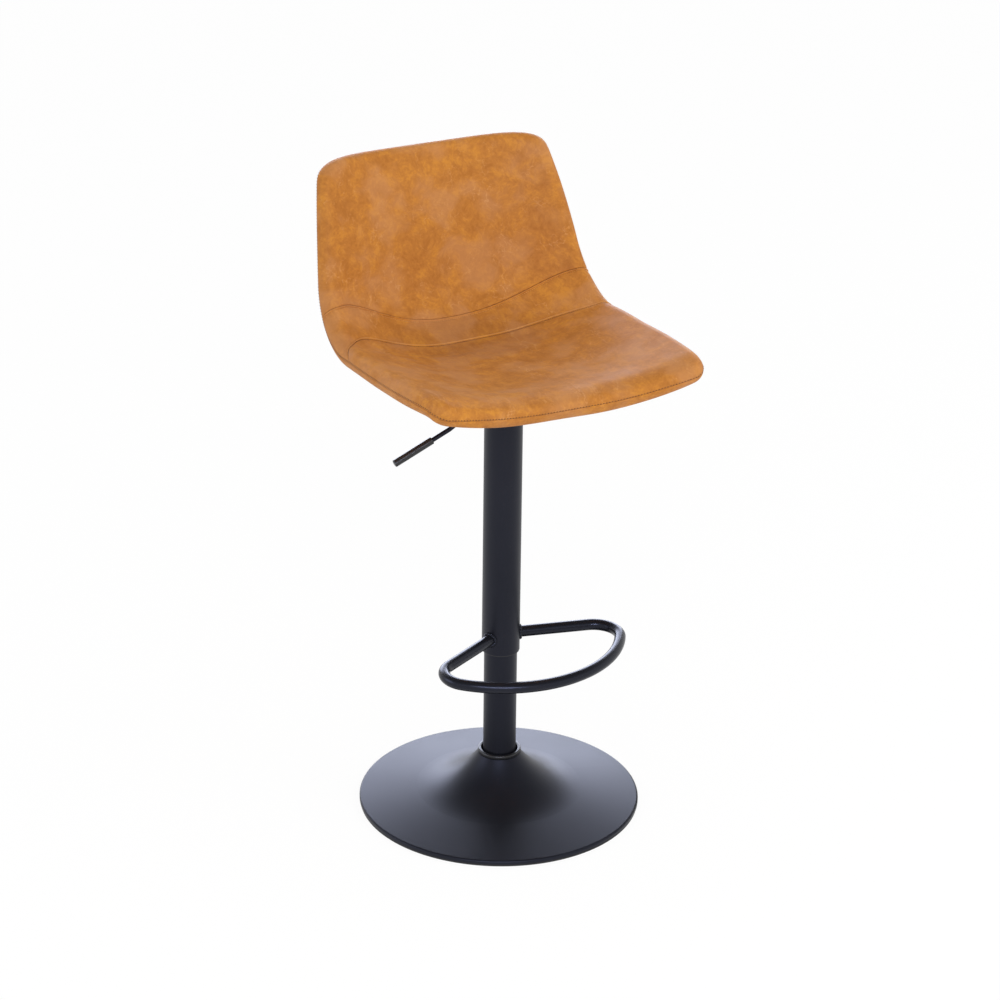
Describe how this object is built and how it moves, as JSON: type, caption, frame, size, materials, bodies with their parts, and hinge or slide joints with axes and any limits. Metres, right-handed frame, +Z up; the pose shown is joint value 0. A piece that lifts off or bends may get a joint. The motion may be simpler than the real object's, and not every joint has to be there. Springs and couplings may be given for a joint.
{
  "type": "adjustable swivel stool",
  "caption": "Gas-lift bar stool: upholstered bucket seat with a low back on a telescoping column, with a looped footrest, a height lever and a round trumpet base.",
  "frame": {"origin": "on the floor, on the column's axis", "axes": "+Z up along the column, the seat's front faces -Y, and the height lever is on the sitter's right, -X"},
  "size_m": [0.4346, 0.523, 0.9329],
  "materials": {
    "black_satin": "satin black powder coat",
    "black_plastic": "moulded, fine satin",
    "black_rubber": "matt",
    "zinc_steel": "zinc plated",
    "aluminium": "turned",
    "brass": "pressed",
    "tan_leather": "mottled pull-up leather cloth with topstitched seams",
    "plywood": "bare moulded veneer"
  },
  "bodies": {
    "base": {"base_shell": "black_satin", "floor_ring": "black_rubber", "neck_ring": "black_plastic", "base_hub": "black_satin", "base_column": "black_satin", "column_foot": "zinc_steel", "column_washers": "zinc_steel", "column_bolts": "zinc_steel", "guide_bush": "black_plastic", "thrust_lower_race": "zinc_steel", "bearing_balls": "zinc_steel", "ball_cage": "brass"},
    "swivel": {"thrust_upper_race": "zinc_steel", "piston_rod": "zinc_steel", "rod_washer": "zinc_steel", "rod_clip": "zinc_steel", "rod_buffer": "black_rubber", "piston": "aluminium", "piston_seal": "black_rubber", "piston_nut": "zinc_steel"},
    "lift": {"gas_cylinder": "black_satin", "rod_guide": "aluminium", "rod_seal": "black_rubber", "valve_body": "aluminium", "outer_column": "black_satin", "outer_guide_ring": "black_plastic", "top_collar": "black_plastic", "footrest": "black_satin", "footrest_welds": "black_satin", "seat_pad": "tan_leather", "lumbar_pad": "tan_leather", "back_pad": "tan_leather", "seat_shell": "plywood", "back_cover": "tan_leather", "tee_nuts": "zinc_steel", "seat_plate": "black_satin", "seat_washers": "zinc_steel", "seat_bolts": "zinc_steel", "hub_sleeve": "black_satin", "lever_bracket": "black_satin", "lever_pivot_pin": "zinc_steel"},
    "lever": {"lever_rod": "black_satin", "lever_grip": "black_plastic"},
    "valve": {"valve_pin": "zinc_steel"}
  },
  "joints": [
    {"name": "seat_swivel", "type": "hinge", "parent": "base", "child": "swivel", "pos_m": [0, 0, 0.03], "axis": [0, 0, 1], "continuous": true},
    {"name": "seat_height", "type": "slide", "parent": "swivel", "child": "lift", "axis": [0, 0, 1], "range_m": [-0.09, 0.12]},
    {"name": "height_lever", "type": "hinge", "parent": "lift", "child": "lever", "pos_m": [-0.03, 0, 0.63799], "axis": [0, 1, 0], "range_deg": [0, 7.5], "stiffness_Nm_per_rad": 5, "springref_deg": -11.46},
    {"name": "valve_press", "type": "slide", "parent": "lift", "child": "valve", "axis": [0, 0, -1], "range_m": [0, 0.0045]}
  ],
  "couplings": [
    {"joint": "valve_press", "follows": "height_lever", "m_per_rad": 0.03}
  ]
}
